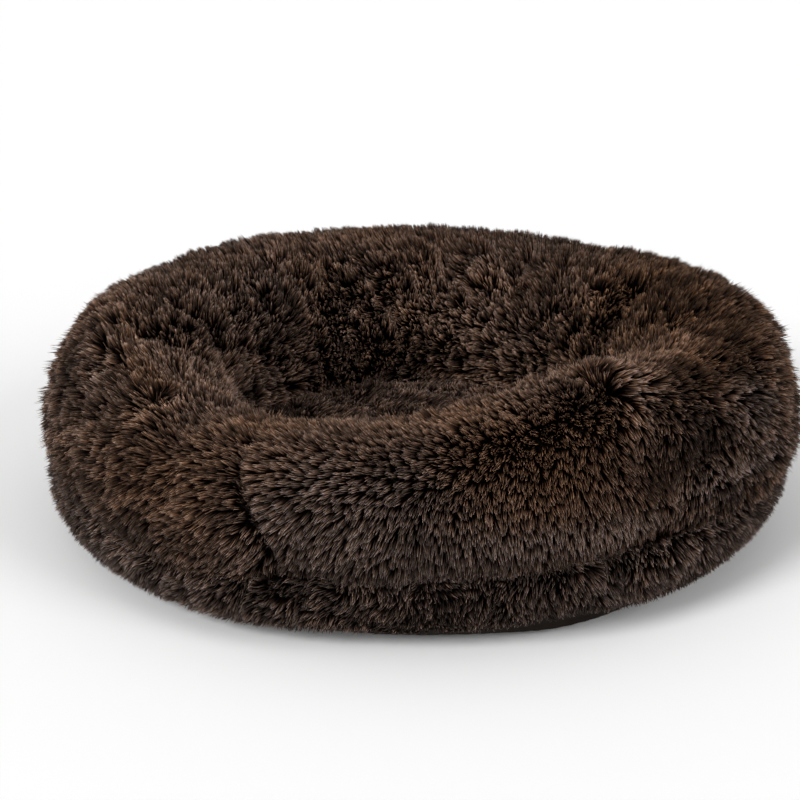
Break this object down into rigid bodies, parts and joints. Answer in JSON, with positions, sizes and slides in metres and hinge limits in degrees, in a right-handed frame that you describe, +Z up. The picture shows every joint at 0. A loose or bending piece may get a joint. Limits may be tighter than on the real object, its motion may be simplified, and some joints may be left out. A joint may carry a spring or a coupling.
{
  "type": "donut pet bed",
  "caption": "Round donut pet bed: a thick stuffed fur rim round a soft centre cushion on a woven base, with a zipped cover.",
  "frame": {"origin": "centre of the flat base, on the floor", "axes": "+Z up, -Y towards the front of the bed, which its low entry side and the picture face, +X to the right seen from the front"},
  "size_m": [0.914, 0.914, 0.28],
  "materials": {
    "rim_cover_front": "long shaggy polyester pile, dark chocolate brown",
    "rim_cover_right": "long shaggy polyester pile, dark chocolate brown",
    "rim_cover_back": "long shaggy polyester pile, dark chocolate brown",
    "rim_cover_left": "long shaggy polyester pile, dark chocolate brown",
    "lower_band_front": "long shaggy polyester pile, dark chocolate brown",
    "lower_band_right": "long shaggy polyester pile, dark chocolate brown",
    "lower_band_back": "long shaggy polyester pile, dark chocolate brown",
    "lower_band_left": "long shaggy polyester pile, dark chocolate brown",
    "centre_panel": "long shaggy polyester pile, dark chocolate brown",
    "base_cloth": "matt woven polyester with small grip dots underneath",
    "bolster_liner": "thin non-woven lining",
    "bolster_fill": "loose polyester fibre filling",
    "cushion_liner": "thin non-woven lining",
    "cushion_fill": "loose polyester fibre filling",
    "zip_tape_upper": "fine woven zip tape",
    "zip_tape_lower": "fine woven zip tape",
    "zip_coil_upper": "dyed nylon coil",
    "zip_coil_lower": "dyed nylon coil",
    "zip_top_stop_upper": "dark nickel finish, satin",
    "zip_top_stop_lower": "dark nickel finish, satin",
    "zip_bottom_stop": "dark nickel finish, satin",
    "zip_slider": "dark nickel finish, satin",
    "zip_pull": "dark nickel finish, satin"
  },
  "bodies": {
    "bed": {"rim_cover_front": "rim_cover_front", "rim_cover_right": "rim_cover_right", "rim_cover_back": "rim_cover_back", "rim_cover_left": "rim_cover_left", "lower_band_front": "lower_band_front", "lower_band_right": "lower_band_right", "lower_band_back": "lower_band_back", "lower_band_left": "lower_band_left", "centre_panel": "centre_panel", "base_cloth": "base_cloth", "bolster_liner": "bolster_liner", "bolster_fill": "bolster_fill", "cushion_liner": "cushion_liner", "cushion_fill": "cushion_fill", "zip_tape_upper": "zip_tape_upper", "zip_tape_lower": "zip_tape_lower", "zip_coil_upper": "zip_coil_upper", "zip_coil_lower": "zip_coil_lower", "zip_top_stop_upper": "zip_top_stop_upper", "zip_top_stop_lower": "zip_top_stop_lower", "zip_bottom_stop": "zip_bottom_stop"},
    "slider": {"zip_slider": "zip_slider"},
    "pull": {"zip_pull": "zip_pull"}
  },
  "joints": [
    {"name": "zip_travel", "type": "hinge", "parent": "bed", "child": "slider", "pos_m": [0, 0, 0.098], "axis": [0, 0, -1], "range_deg": [0, 66.5]},
    {"name": "pull_swing", "type": "hinge", "parent": "slider", "child": "pull", "pos_m": [-0.24188, 0.36817, 0.098], "axis": [0, 0, 1], "range_deg": [0, 180]}
  ]
}
